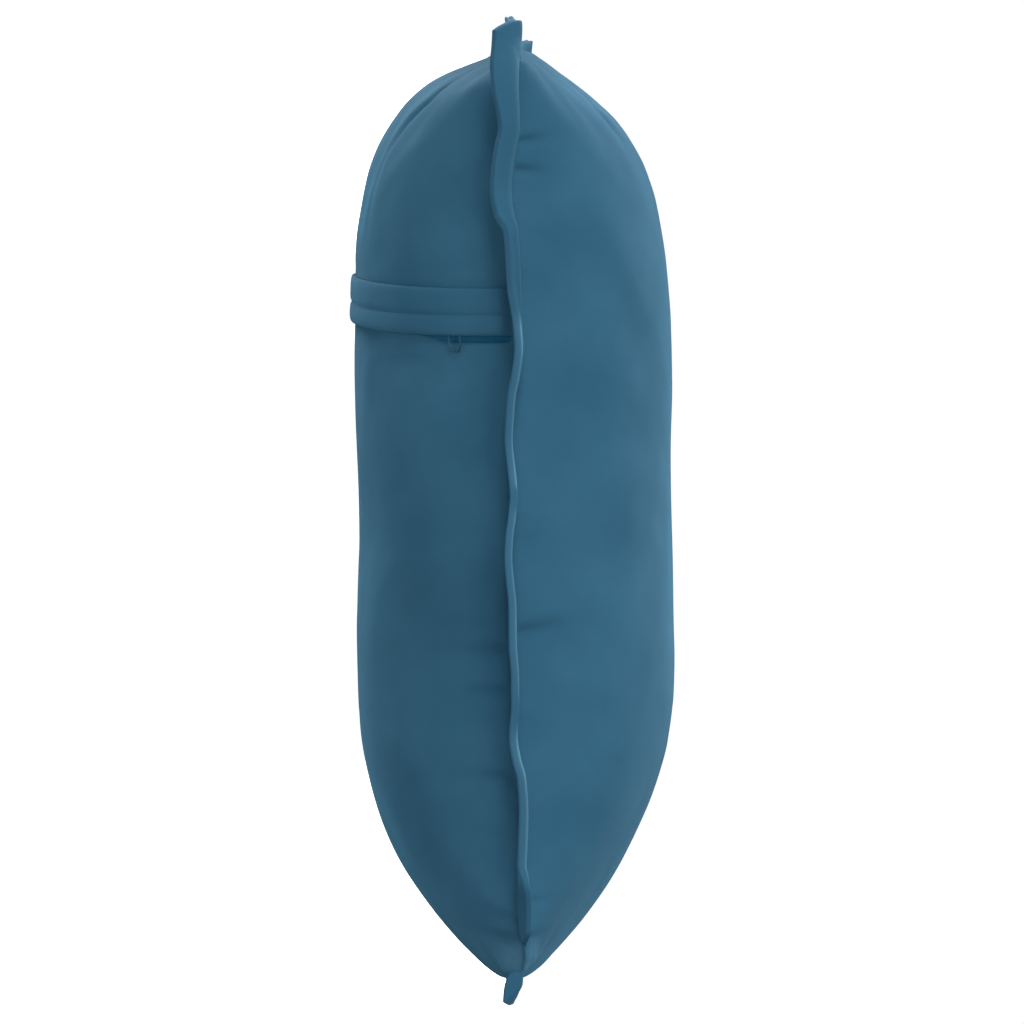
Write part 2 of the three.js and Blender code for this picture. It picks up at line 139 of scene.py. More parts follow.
# Waves of the flange along each side: height of its root, of the ridge where it bends and of its
# free edge, and how far it stands out. LEFT and RIGHT are at a y, TOP and BOTTOM at an x.
Wave = namedtuple("Wave", "at root ridge edge wide")
LEFT = table(
    Wave,
    (-263, 93.0, 92.0, 82.0, 10),
    (-262.7, 93.1, 92.4, 83.0, 9.5),
    (-262.4, 93.2, 92.7, 85.0, 8),
    (-262.0, 93.4, 93.0, 87.6, 6),
    (-261.4, 93.6, 93.5, 93.2, 1.8),
    (-258, 94.6, 94.6, 94.5, 1.6),
    (-254, 95.8, 95.8, 95.7, 1.6),
    (-247, 95.5, 95.5, 95.4, 1.6),
    (-245.4, 95.3, 95.3, 95.0, 5),
    (-244, 95.2, 94.6, 95.8, 13),
    (-241.5, 95.0, 93.9, 96.8, 19),
    (-238, 94.8, 93.0, 97.7, 22),
    (-222, 94.2, 92.6, 98.3, 22),
    (-208, 94.4, 93.2, 96.8, 22),
    (-200, 94.7, 94.6, 94.8, 22),
    (-190, 94.9, 95.8, 95.4, 22),
    (-166, 95.5, 96.8, 96.6, 22),
    (-150, 95.0, 96.2, 95.9, 22),
    (-139, 94.0, 93.8, 93.3, 22),
    (-126, 92.8, 92.0, 91.7, 22),
    (-106, 93.1, 93.6, 93.3, 22),
    (-89, 93.0, 93.6, 93.5, 22),
    (-72, 92.9, 93.0, 92.7, 22),
    (-50, 92.8, 93.1, 93.0, 22),
    (-34, 92.6, 92.1, 91.9, 22),
    (-23, 92.5, 91.6, 91.3, 22),
    (-11, 93.2, 92.3, 92.1, 22),
    (0, 94.5, 93.9, 93.7, 22),
    (15, 95.5, 95.5, 95.4, 22),
    (30, 94.9, 94.5, 94.4, 22),
    (46, 94.2, 93.3, 93.2, 22),
    (60, 95.3, 94.5, 94.2, 22),
    (72, 97.2, 96.4, 95.3, 22),
    (84, 98.8, 99.6, 97.9, 22),
    (101, 99.7, 102.0, 100.1, 22),
    (116, 99.6, 101.7, 99.2, 22),
    (135, 99.4, 101.5, 96.2, 22),
    (151, 99.4, 101.3, 95.7, 22),
    (167, 100.1, 100.4, 94.6, 21),
    (178, 98.6, 98.2, 88.6, 21),
    (190, 97.8, 96.8, 86.8, 21),
    (206, 99.5, 98.6, 88.1, 21),
    (217, 101.2, 101.0, 90.0, 21),
    (228, 102.8, 103.0, 92.4, 21),
    (237, 103.0, 103.0, 91.2, 21),
    (249, 103.0, 102.6, 88.8, 21),
    (256, 103.2, 102.6, 88.3, 21),
    (267.6, 104.0, 101.5, 90.5, 18),
)
RIGHT = table(
    Wave,
    (-263, 90.0, 90.0, 86.0, 14),
    (-215, 92.0, 93.0, 90.0, 21),
    (-180, 94.0, 93.0, 97.0, 22),
    (-140, 93.0, 94.0, 91.5, 22),
    (-95, 94.0, 93.0, 96.5, 22),
    (-50, 93.0, 94.0, 90.0, 22),
    (-5, 95.5, 94.5, 98.0, 22),
    (40, 95.0, 96.0, 92.5, 22),
    (85, 98.0, 97.0, 100.5, 22),
    (125, 98.0, 99.0, 95.0, 22),
    (170, 100.5, 99.5, 103.5, 22),
    (215, 102.0, 103.0, 99.0, 21),
    (267.6, 106.0, 106.0, 112.0, 14),
)
TOP = table(
    Wave,
    (-270, 104.0, 101.5, 90.5, 18),
    (-268, 104.2, 103.3, 94.0, 19.8),
    (-266, 104.4, 104.4, 97.4, 20.6),
    (-264, 104.5, 104.8, 100.6, 21.1),
    (-262, 104.5, 105.0, 103.2, 21.2),
    (-259, 104.5, 105.0, 104.3, 21.2),
    (-252, 104.0, 104.5, 104.0, 20.8),
    (-236, 103.0, 103.0, 101.0, 19.5),
    (-205, 103.0, 102.5, 101.5, 19.5),
    (-155, 102.0, 101.5, 100.5, 19.5),
    (-100, 101.0, 101.5, 99.5, 20),
    (-40, 101.0, 101.0, 99.2, 20.3),
    (10, 101.5, 101.0, 99.6, 20.4),
    (60, 102.0, 101.5, 101.4, 19.5),
    (110, 102.5, 102.5, 103.8, 18.3),
    (150, 102.5, 103.5, 102.0, 17.5),
    (200, 104.0, 104.5, 103.0, 18),
    (244, 105.0, 105.5, 105.0, 17.5),
    (270, 106.0, 106.0, 112.0, 20),
)
BOTTOM = table(
    Wave,
    (-270, 93.0, 92.0, 82.0, 18.6),
    (-269.3, 93.0, 92.4, 84.8, 19.2),
    (-268.6, 93.0, 92.6, 87.0, 16.8),
    (-267.9, 92.9, 92.6, 88.8, 13.8),
    (-267, 92.7, 92.4, 90.2, 10),
    (-265, 92.5, 92.0, 90.4, 7),
    (-261, 92.0, 91.4, 89.6, 8),
    (-254, 91.2, 90.5, 88.0, 11),
    (-245, 90.5, 89.5, 86.5, 13),
    (-235, 89.8, 88.8, 85.8, 14),
    (-120, 89.5, 88.0, 85.2, 15),
    (-20, 89.5, 88.0, 84.8, 15),
    (90, 89.5, 88.0, 85.2, 15),
    (190, 89.8, 88.5, 85.5, 15.5),
    (270, 90.0, 90.0, 86.0, 16),
)

# Free edge of the left flange: half of its thickness, and how far the groove between its two
# layers is pressed in.
Rim = namedtuple("Rim", "at half groove")
LEFT_RIM = table(
    Rim,
    (-263, 1.1, 0.0),
    (-260, 0.8, 0.0),
    (-247, 0.8, 0.0),
    (-244.5, 1.6, 0.0),
    (-241, 1.7, 0.0),
    (-212, 1.8, 0.0),
    (-204, 2.6, 0.1),
    (-180, 2.8, 0.35),
    (-130, 2.6, 0.25),
    (-118, 2.5, 0.35),
    (-60, 2.4, 0.25),
    (-20, 2.3, 0.2),
    (-4, 2.3, 0.3),
    (50, 2.4, 0.2),
    (90, 2.6, 0.1),
    (108, 2.6, 0.0),
    (267.6, 2.5, 0.0),
)
# Half of the thickness elsewhere: at the root, at the free edge, and in the tail at the lower
# left.
ROOT_HALF = 1.1
RIM_HALF = 2.6
TAIL_HALF = 1.1
# Depth of the groove on the right side, and on the top and the bottom. RIM_SQUARE tells how round
# the edge is: 1 is a full round, and less is squarer.
RIM_GROOVE = 1.6
END_GROOVE = 0.6
RIM_SQUARE = 0.5
# The cloth stands clear of the seam by FLANGE_ROOT_GAP, and its first points are tucked
# FLANGE_TUCK into it, so that no slit shows at the corners. It bends at RIDGE_OUT of its width.
# Past the bend it reaches out by FLANGE_LEAST of that part's width at least.
FLANGE_ROOT_GAP = 1.1
FLANGE_TUCK = 0.7
RIDGE_OUT = 0.3
FLANGE_LEAST = 0.6
# How far from a corner the flange starts to turn round it. It is tucked in at the lower left.
CORNER_FAN = 35.0
TUCKED_FAN_SIDE = 1.0
TUCKED_FAN_END = 3.0

# Painted light along the left flange, at the places where it folds or turns: how bright the
# painted highlight on its front fold is, and how much painted shade lies on all of it. Both were
# set by comparing tones.
FlangePaintedLight = namedtuple("FlangePaintedLight", "at lit laid")
FLANGE_PAINTED_LIGHT = table(
    FlangePaintedLight,
    (-263, 0.0, 0.3),
    (-250, 0.0, 0.0),
    (-244, 0.0, 0.55),
    (-218, 0.0, 0.55),
    (-207, 0.5, 0.1),
    (-165, 0.5, 0.1),
    (-134, 0.9, 0.0),
    (-115, 0.0, 0.0),
    (-109, 0.0, 0.0),
    (-92, 0.4, 0.0),
    (-61, 0.5, 0.0),
    (-9, 0.4, 0.0),
    (2, 0.5, 0.0),
    (9, 0.0, 0.0),
    (16, 0.0, 0.0),
    (22, 0.9, 0.0),
    (54, 0.4, 0.0),
    (90, 0.4, 0.0),
    (110, 1.0, 0.0),
    (127, 0.6, 0.0),
    (165, 0.5, 0.1),
    (185, 0.25, 0.15),
    (252, 0.25, 0.15),
    (266, 0.15, 0.0),
)
# Shares of the painted highlight across the flange: over its free edge, from the front to the
# back, and, above DROOPED, where it droops, over the bend in its front.
HIGHLIGHT_RIM = (0.3, 0.7, 1.0, 1.0, 0.9, 0.55, 0.35, 0.22, 0.15)
HIGHLIGHT_RIM += (0.1, 0.05, 0.0, 0.0, 0.0, 0.1, 0.3, 0.3)
HIGHLIGHT_BEND = (0.7, 0.8, 0.9, 1.0, 1.0, 0.8, 0.3, 0.1)
DROOPED = 108.0
DROOP_FADE = 15
# The flange's painted highlight and shade are only on the side of the cushion left of this x.
FLANGE_PAINTED_LIGHT_X = -200

# Corner folds: each one a valley pressed in along a line of points, with its depth and half width
# at each of them.
Fold = namedtuple("Fold", "fold x y z depth half")
FOLDS = table(
    Fold,
    (1, -132, 268.5, 84.0, 0.0, 3.5),
    (1, -148, 267.5, 84.0, 1.8, 3.5),
    (1, -166, 263.0, 75.5, 3.0, 3.5),
    (1, -190, 257.0, 66.0, 3.8, 3.5),
    (1, -193, 245.7, 51.0, 3.8, 3.5),
    (1, -181, 234.4, 39.0, 2.6, 4.0),
    (1, -173, 217.0, 27.0, 1.2, 5.0),
    (1, -171, 197.0, 19.0, 0.6, 6.0),
    (1, -165, 176.0, 14.0, 0.6, 8.0),
    (1, -160, 160.0, 10.0, 0.0, 8.0),
    (2, -104, 254.0, 134.0, 0.0, 4.0),
    (2, -118, 253.0, 137.0, 2.5, 4.0),
    (2, -147, 244.0, 146.0, 3.5, 4.5),
    (2, -164, 236.7, 152.0, 3.0, 4.5),
    (2, -163, 227.5, 159.0, 1.5, 5.0),
    (2, -158, 216.0, 165.0, 0.0, 5.0),
    (3, -268, -249.5, 93.0, 0.6, 3.0),
    (3, -258.0, -244.0, 81.5, 2.4, 3.5),
    (3, -244, -242.0, 73.3, 2.4, 4.0),
    (3, -226, -239.5, 64.6, 1.2, 5.0),
    (3, -205, -238.0, 56.5, 0.0, 6.0),
    (4, 207, 266.0, 90.0, 6.0, 9.0),
    (4, 158, 178.0, 13.0, 0.0, 9.0),
    (5, 212, 262.0, 118.6, 4.5, 9.0),
    (5, 180, 205.0, 168.4, 0.0, 9.0),
    (6, 208, -260.0, 103.4, 4.0, 10.0),
    (6, 172, -190.0, 155.8, 0.0, 10.0),
)

# Soft creases that run in from a side seam: where they start and the slant at which they leave it,
# how far from the seam they start and end, how deep they are and their half width.
Crease = namedtuple("Crease", "face side at slant start end depth half")
CREASES = table(
    Crease,
    (1, -1, 219, 0.1, 2, 30, 2.0, 3.2),
    (1, -1, 203, -0.1, 0, 30, 2.2, 3.4),
    (1, -1, 168, -0.2, 0, 36, 0.8, 6.0),
    (1, -1, -66, 0.15, 0, 56, 2.2, 4.6),
    (1, -1, -222, 0.05, 0, 30, 1.2, 3.0),
    (1, -1, -243, 0.1, 0, 26, 2.0, 3.4),
    (-1, -1, -76, 0.0, 0, 76, 2.0, 5.5),
    (-1, -1, -99, -0.05, 4, 60, 1.7, 4.5),
    (-1, -1, -150, 0.05, 3, 60, 2.0, 4.5),
    (-1, -1, -232, 0.1, 2, 40, 1.6, 5.0),
)
# A crease rises from CREASE_AT_SEAM of its depth over CREASE_RISE, begins CREASE_LEAD before its
# start and spreads from CREASE_NARROW of its half width by CREASE_SPREAD.
CREASE_AT_SEAM = 0.1
CREASE_RISE = 2.5
CREASE_LEAD = 3
CREASE_NARROW = 0.8
CREASE_SPREAD = 0.5

# Cloth simulation of the cover: cells across and along, frames, how wide a swell is left out of
# what it adds, in cells, the most that it adds and the share of it that is used.
SIM_ACROSS = 90
SIM_ALONG = 130
SIM_FRAMES = 16
SIM_WIDE = 14
SIM_MOST = 2.2
SIM_SHARE = 0.4
SIM_CLOTH = {
    "quality": 4,
    "mass": 0.3,
    "tension_stiffness": 15,
    "compression_stiffness": 15,
    "shear_stiffness": 5,
    "bending_stiffness": 0.3,
    "use_pressure": True,
    "uniform_pressure_force": 3,
    "shrink_min": -0.03,
}
# Small puckers along each side of the seam, and low swells of the filling.
PUCKERS = 34
PUCKER_DEPTH = 0.35
PUCKER_SPAN = 510
PUCKER_REACH = (10, 34)
PUCKER_SLANT = 0.25
PUCKER_HALF = (2.2, 4.5)
SWELLS = 9
SWELL_HEIGHT = 0.7
SWELL_LENGTH = (90, 220)
SWELL_PHASE = 6.3
# The swells and the dip at the zip fade to the seam, from 1 / RISE of the fullness down.
SWELL_RISE = 1.5
DIP_RISE = 12
# What swells out of the back fades over the last REST_FADE above the surface it lies on.
REST_FADE = 12

# Zip cover: where its top edge runs, the share of the width that it spans and how it thins at its
# ends.
FLAP_TOP_Y = 145.6
FLAP_DROP = 11.0
FLAP_SPAN = 0.995
FLAP_TAPER = 0.035
FLAP_THINS = 0.4
# Below the cover the cloth dips to the zip from the seam to DIP_TO, then rises to the lip over it,
# most of all at BULGE_AT, and is hollow beyond. Distances are down from the cover's top edge: the
# dip begins at DIP_FROM and ends at DIP_LOW, or DIP_LIFT sooner past DIP_TO.
DIP_TO = -0.972
DIP_TO_FADE = 0.085
DIP_DEPTH = 1.9
DIP_FROM = 22
DIP_LOW = 30.4
DIP_LIFT = 6
DIP_FADE = 3
BULGE_AT = -0.885
BULGE_HALF = 0.09
BULGE_UP = 1.3
BULGE_TO = 32
BULGE_FADE = 14
HOLLOW_DEPTH = 0.35
HOLLOW_DOWN = 30
HOLLOW_HALF = 6
# The sewn cover holds the cloth: from CALM_ABOVE its top edge to CALM_BELOW it there are no
# puckers of the simulation.
CALM_ABOVE = 12
CALM_BELOW = 46
CALM_FADE = 8


def smooth(f):
    g = np.clip(f, 0, 1)
    return g * g * (3 - 2 * g)


def curve(rows, column, at):
    """Smooth curve through one column of a table against its first column, without overshoot."""
    x = np.array([row[0] for row in rows], float)
    y = np.array([getattr(row, column) for row in rows], float)
    step = np.diff(x)
    rise = np.diff(y) / step
    lean = np.zeros(len(x))
    lean[0], lean[-1] = rise[0], rise[-1]
    same = rise[:-1] * rise[1:] > 0
    both = np.where(same, rise[:-1] + rise[1:], 1)
    lean[1:-1] = np.where(same, 2 * rise[:-1] * rise[1:] / both, 0)
    at = np.clip(at, x[0], x[-1])
    i = np.clip(np.searchsorted(x, at, side="right") - 1, 0, len(x) - 2)
    f = (at - x[i]) / step[i]
    level = y[i] * (2 * f**3 - 3 * f**2 + 1) + y[i + 1] * (3 * f**2 - 2 * f**3)
    return level + step[i] * (lean[i] * (f**3 - 2 * f**2 + f) + lean[i + 1] * (f**3 - f**2))


# s runs across the width and t from the bottom edge to the top edge, both from -1 to 1.
def seam_x(t):
    return CORNER_X - SIDE_DRAWN_IN * (1 - t * t)


def top_y(s):
    return TOP_CORNER_Y + TOP_BOW * (1 - s * s)


def bottom_y(s):
    return BOTTOM_CORNER_Y - BOTTOM_BOW * (1 - s * s)


def plan_y(s, t):
    return bottom_y(s) + (t + 1) / 2 * (top_y(s) - bottom_y(s))


def at_y(s, y):
    return 2 * (y - bottom_y(s)) / (top_y(s) - bottom_y(s)) - 1


def flap_top_y(s):
    return FLAP_TOP_Y - FLAP_DROP * s * s


def side_fullness(s):
    return np.clip(1 - np.abs(s) ** SIDE_POWER, 0, None) ** SIDE_ROOT


def seam_height(s, t):
    """Height of the seam surface: a plane, bent near each side to follow that side's waves."""

    def plane(v):
        return SEAM_Z + SEAM_CLIMB * v

    def near(v):
        return np.clip((v - 1 + WAVE_REACH) / WAVE_REACH, 0, None) ** WAVE_FADE

    left = curve(LEFT, "root", plan_y(-1, t)) - plane(t)
    right = curve(RIGHT, "root", plan_y(1, t)) - plane(t)
    bottom = curve(BOTTOM, "root", s * CORNER_X) - plane(-1)
    top = curve(TOP, "root", s * CORNER_X) - plane(1)
    z = plane(t) + near(-s) * left + near(s) * right + near(-t) * bottom + near(t) * top
    z = z - near(-s) * near(-t) * (LEFT[0].root - plane(-1))
    z = z - near(-s) * near(t) * (TOP[0].root - plane(1))
    z = z - near(s) * near(-t) * (RIGHT[0].root - plane(-1))
    return z - near(s) * near(t) * (TOP[-1].root - plane(1))


def surface(face, s, t):
    """Points of the cushion's plain surface: face is 1 for the front and -1 for the back."""
    s, t = np.broadcast_arrays(np.asarray(s, float), np.asarray(t, float))
    level = plan_y(0, t)
    front, back = curve(SECTION, "front", level), curve(SECTION, "back", level)
    middle = front if face > 0 else back
    across = side_fullness(s)
    full = (front - back) / FULL_DEPTH
    away = np.abs(middle - seam_height(0, t)) * across
    lean = SEAM_SLOPE * away * np.exp(-away / SEAM_FADE) * smooth(full / GROOVE_FADE)
    x = s * (seam_x(t) - lean)
    y = plan_y(s, t)
    z = seam_height(s, t) + (middle - seam_height(0, t)) * across
    return np.stack([x, y, np.clip(z, 0, None)], axis=-1)


def outward(face, u, t):
    """Outward direction of the plain surface, from short steps along it. u runs across the width
    from -1 to 1 as s does, and s is the sine of that many quarter turns."""
    step = 1e-3
    before, s, after = (np.sin((u + move) * np.pi / 2) for move in (-step, 0, step))
    along = surface(face, after, t) - surface(face, before, t)
    up = surface(face, s, t + step) - surface(face, s, t - step)
    normal = np.cross(along, up) * face
    return normal / np.linalg.norm(normal, axis=-1, keepdims=True)


cad_low, cad_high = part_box("cushion")
lowest_y = surface(1, 0.0, -1.0)[1]
PLACE = np.array([(cad_low.x + cad_high.x) / 2 / MM, cad_low.y / MM - lowest_y, 0])


def stations(count, weight):
    """count + 1 angles from -90 to 90 degrees, closer together where the weight is larger."""
    fine = np.linspace(-np.pi / 2, np.pi / 2, 4001)
    dense = weight(fine)
    total = np.concatenate([[0], np.cumsum((dense[1:] + dense[:-1]) / 2)])
    return np.interp(np.linspace(0, total[-1], count + 1), total, fine)


def grid_faces(rows, columns, close_rows=False, close_columns=False):
    """Quads of a grid of points numbered row by row."""
    i = np.arange(rows if close_rows else rows - 1)
    j = np.arange(columns if close_columns else columns - 1)
    i, j = (v.ravel() for v in np.meshgrid(i, j, indexing="ij"))
    i2, j2 = (i + 1) % rows, (j + 1) % columns
    corners = (i, j), (i2, j), (i2, j2), (i, j2)
    return np.stack([row * columns + column for row, column in corners], axis=1)


def build(name, points, faces, replaced, material):
    """A smooth-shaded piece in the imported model's frame that stands for CAD nodes."""
    mesh = bpy.data.meshes.new(name)
    mesh.from_pydata(((points + PLACE) * MM).tolist(), [], faces)
    mesh.validate()
    mesh.update()
    mesh.shade_smooth()
    mesh.materials.append(material)
    piece = bpy.data.objects.new(name, mesh)
    bpy.context.scene.collection.objects.link(piece)
    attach(piece, "root")
    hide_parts(*replaced)
    return piece


def outward_faces(points, quads):
    """The quads, turned over if the body they make is inside out."""
    a, b, c, d = (points[quads[:, k]] for k in range(4))
    volume = np.einsum("ij,ij->", a, np.cross(b, c)) + np.einsum("ij,ij->", a, np.cross(c, d))
    return quads if volume > 0 else quads[:, ::-1]


# Materials. The velvet's base runs from dark to light over its nap. It is made paler by painted
# highlights and darker by painted shade, by the shares that the meshes carry.
VELVET_DARK = (0.0243, 0.0950, 0.1608)
VELVET_LIGHT = (0.0318, 0.1135, 0.1862)
# Colours that the painted highlight and the painted shade blend the base toward.
HIGHLIGHT_COLOUR = (0.100, 0.235, 0.330)
SHADE_COLOUR = (0.0085, 0.042, 0.077)
NAP_SCALE = 20
NAP_DETAIL = 6
NAP_SPAN = (0.3, 0.7)
FIBRE_SCALE = 1400
FIBRE_SHADE = 0.12
FIBRE_BUMP = 0.25
FIBRE_HEIGHT_M = 0.0003
COAT_DARK = (0.020, 0.064, 0.108)
COAT_LIGHT = (0.027, 0.083, 0.137)
COAT_SCALE = 900


def shader_of(name):
    """A new material with its nodes, links and shader."""
    material = bpy.data.materials.new(name)
    material.use_nodes = True
    nodes = material.node_tree.nodes
    return material, nodes, material.node_tree.links, nodes["Principled BSDF"]


def noise(nodes, links, scale, detail=2):
    place = nodes.new("ShaderNodeTexCoord")
    node = nodes.new("ShaderNodeTexNoise")
    node.inputs["Scale"].default_value = scale
    node.inputs["Detail"].default_value = detail
    links.new(place.outputs["Object"], node.inputs["Vector"])
    return node.outputs["Fac"]


def shades(nodes, links, source, span, colours):
    """The two colours, blended over a span of the source's values."""
    ramp = nodes.new("ShaderNodeValToRGB")
    for element, position, colour in zip(ramp.color_ramp.elements, span, colours):
        element.position = position
        element.color = (*colour, 1)
    links.new(source, ramp.inputs["Fac"])
    return ramp.outputs["Color"]


def velvet(name, tone=(1.0, 1.0, 1.0), pile=1.0):
    """Short-pile velvet with a dim sheen where it turns away, and a faint uneven nap. tone
    multiplies its colours, and pile how rough its fibres are."""
    material, nodes, links, shader = shader_of(name)

    def toned(colour):
        return tuple(a * v for a, v in zip(tone, colour))

    nap = noise(nodes, links, NAP_SCALE, NAP_DETAIL)
    fibres = noise(nodes, links, FIBRE_SCALE)
    base = shades(nodes, links, nap, NAP_SPAN, (toned(VELVET_DARK), toned(VELVET_LIGHT)))
    mix = nodes.new("ShaderNodeMixRGB")
    mix.blend_type = "MULTIPLY"
    mix.inputs["Fac"].default_value = FIBRE_SHADE
    links.new(base, mix.inputs["Color1"])
    links.new(fibres, mix.inputs["Color2"])
    cloth = mix.outputs["Color"]
    # Painted highlight and painted shade, by the shares that the meshes carry.
    for share, colour in (("opened", HIGHLIGHT_COLOUR), ("laid", SHADE_COLOUR)):
        amount = nodes.new("ShaderNodeAttribute")
        amount.attribute_name = share
        turn = nodes.new("ShaderNodeMixRGB")
        turn.inputs["Color2"].default_value = (*toned(colour), 1)
        links.new(amount.outputs["Fac"], turn.inputs["Fac"])
        links.new(cloth, turn.inputs["Color1"])
        cloth = turn.outputs["Color"]
    links.new(cloth, shader.inputs["Base Color"])
    shader.inputs["Roughness"].default_value = 0.9
    shader.inputs["Specular IOR Level"].default_value = 0.08
    shader.inputs["Sheen Weight"].default_value = 0.15
    shader.inputs["Sheen Roughness"].default_value = 0.3
    shader.inputs["Sheen Tint"].default_value = (0.08, 0.47, 0.75, 1)
    bump = nodes.new("ShaderNodeBump")
    bump.inputs["Strength"].default_value = FIBRE_BUMP * pile
    bump.inputs["Distance"].default_value = FIBRE_HEIGHT_M
    links.new(fibres, bump.inputs["Height"])
    links.new(bump.outputs["Normal"], shader.inputs["Normal"])
    return material


def coated(name):
    """Blue-coated metal of the zip pull."""
    material, nodes, links, shader = shader_of(name)
    uneven = noise(nodes, links, COAT_SCALE)
    colour = shades(nodes, links, uneven, (0, 1), (COAT_DARK, COAT_LIGHT))
    links.new(colour, shader.inputs["Base Color"])
    shader.inputs["Roughness"].default_value = 0.42
    shader.inputs["Metallic"].default_value = 0.9
    return material


VELVET = velvet("velvet")
TAPE = velvet("tape", tone=(0.36, 0.85, 1.0), pile=2.0)
COATED = coated("coated_metal")


def normals(points, face):
    """Outward directions of a grid of points."""
    across = np.gradient(points, axis=0)
    up = np.gradient(points, axis=1)
    n = np.cross(across, up) * face
    return n / np.maximum(np.linalg.norm(n, axis=-1, keepdims=True), 1e-9)


def crease_depth(face, points):
    """How deep the soft creases and the puckers beside the seam press in, over a face's grid."""
    chance = np.random.default_rng(11 if face > 0 else 12)
    depth = np.zeros(points.shape[:2])
    for axis, side in ((0, -1), (0, 1), (1, -1), (1, 1)):
        grid = points if side < 0 else np.flip(points, axis)
        step = np.linalg.norm(np.diff(grid, axis=axis), axis=-1)
        first = np.zeros_like(step.take([0], axis))
        arc = np.concatenate([first, np.cumsum(step, axis)], axis)
        along = grid[..., 1 - axis]
        rows = [c for c in CREASES if axis == 0 and c.face == face and c.side == side]
        for k in range(PUCKERS):
            at = -PUCKER_SPAN / 2 + PUCKER_SPAN * (k + chance.uniform(0, 1)) / PUCKERS
            reach = chance.uniform(*PUCKER_REACH)
            deep = chance.uniform(-1, 1) * PUCKER_DEPTH
            slant = chance.uniform(-PUCKER_SLANT, PUCKER_SLANT)
            half = chance.uniform(*PUCKER_HALF)
            rows.append(Crease(face, side, at, slant, 0, reach, deep, half))
        pressed = np.zeros(depth.shape)
        for c in rows:
            f = np.clip((arc - c.start) / (c.end - c.start), 0, 1)
            half = c.half * (CREASE_NARROW + CREASE_SPREAD * f)
            middle = np.exp(-(((along - c.at - c.slant * arc) / half) ** 2))
            rise = smooth(arc / CREASE_RISE + CREASE_AT_SEAM)
            pressed += c.depth * middle * rise * (1 - smooth(f)) * (arc > c.start - CREASE_LEAD)
        depth += pressed if side < 0 else np.flip(pressed, axis)
    return depth


def fold_depth(points):
    """How deep the corner folds press in."""
    depth = np.zeros((FOLDS[-1].fold + 1, *points.shape[:-1]))
    for a, b in zip(FOLDS[:-1], FOLDS[1:]):
        if a.fold != b.fold:
            continue
        start, way = np.array(a[1:4]), np.array(b[1:4]) - np.array(a[1:4])
        f = np.clip((points - start) @ way / (way @ way), 0, 1)
        away = np.linalg.norm(points - start - f[..., None] * way, axis=-1)
        half = a.half + f * (b.half - a.half)
        valley = (a.depth + f * (b.depth - a.depth)) * np.exp(-((away / half) ** 2))
        depth[a.fold] = np.maximum(depth[a.fold], valley)
    return depth.sum(axis=0)


def zip_dip(points, s):
    """How deep the back dips to the zip below the cover's lip."""
    down = flap_top_y(s) - points[..., 1]
    inner = smooth((s - DIP_TO) / DIP_TO_FADE)
    low = DIP_LOW - DIP_LIFT * inner
    ended = smooth((down - low) / DIP_FADE)
    bulge = np.exp(-(((s - BULGE_AT) / BULGE_HALF) ** 2)) * inner
    dip = DIP_DEPTH * smooth((down - DIP_FROM) / DIP_FADE) * (1 - ended)
    hollow = HOLLOW_DEPTH * np.exp(-(((down - HOLLOW_DOWN) / HOLLOW_HALF) ** 2))
    out = BULGE_UP * ended * (1 - smooth((down - BULGE_TO) / BULGE_FADE))
    return dip + hollow * inner * (1 - bulge) - out * bulge


def unevenness(face, points):
    """Low, wide swells of the filling."""
    chance = np.random.default_rng(21 if face > 0 else 22)
    total = np.zeros(points.shape[:2])
    for _ in range(SWELLS):
        angle = chance.uniform(0, np.pi)
        length = chance.uniform(*SWELL_LENGTH)
        phase = chance.uniform(0, SWELL_PHASE)
        along = points[..., 0] * np.cos(angle) + points[..., 1] * np.sin(angle)
        total += np.sin(2 * np.pi * along / length + phase)
    return SWELL_HEIGHT * total / math.sqrt(SWELLS)


def blur(grid, passes):
    """The grid smoothed over its neighbours, with its edges mirrored."""
    for _ in range(passes):
        for axis in (0, 1):
            wide = np.pad(grid, [(1, 1) if k == axis else (0, 0) for k in (0, 1)], mode="reflect")
            low, high = np.delete(wide, [-2, -1], axis), np.delete(wide, [0, 1], axis)
            grid = (low + 2 * grid + high) / 4
    return grid


def sewn(angle_s, angle_t, shape):
    """The two faces' points over a grid of angles, joined along the seam, the quads between them,
    the number of each grid point of the front and of the back, and which lie on the seam."""
    s, t = np.meshgrid(np.sin(angle_s), np.sin(angle_t), indexing="ij")
    s[0], s[-1] = -1, 1
    t[:, 0], t[:, -1] = -1, 1
    front, back = (shape(face, s, t).reshape(-1, 3) for face in (1, -1))
    rows, columns = s.shape
    edge = np.zeros((rows, columns), bool)
    edge[0] = edge[-1] = edge[:, 0] = edge[:, -1] = True
    edge = edge.ravel()
    number = np.arange(rows * columns)
    number[~edge] = rows * columns + np.arange((~edge).sum())
    points = np.concatenate([front, back[~edge]])
    quads = grid_faces(rows, columns)
    faces = outward_faces(points, np.concatenate([quads, number[quads][:, ::-1]]))
    return points, faces, np.arange(rows * columns), number, edge


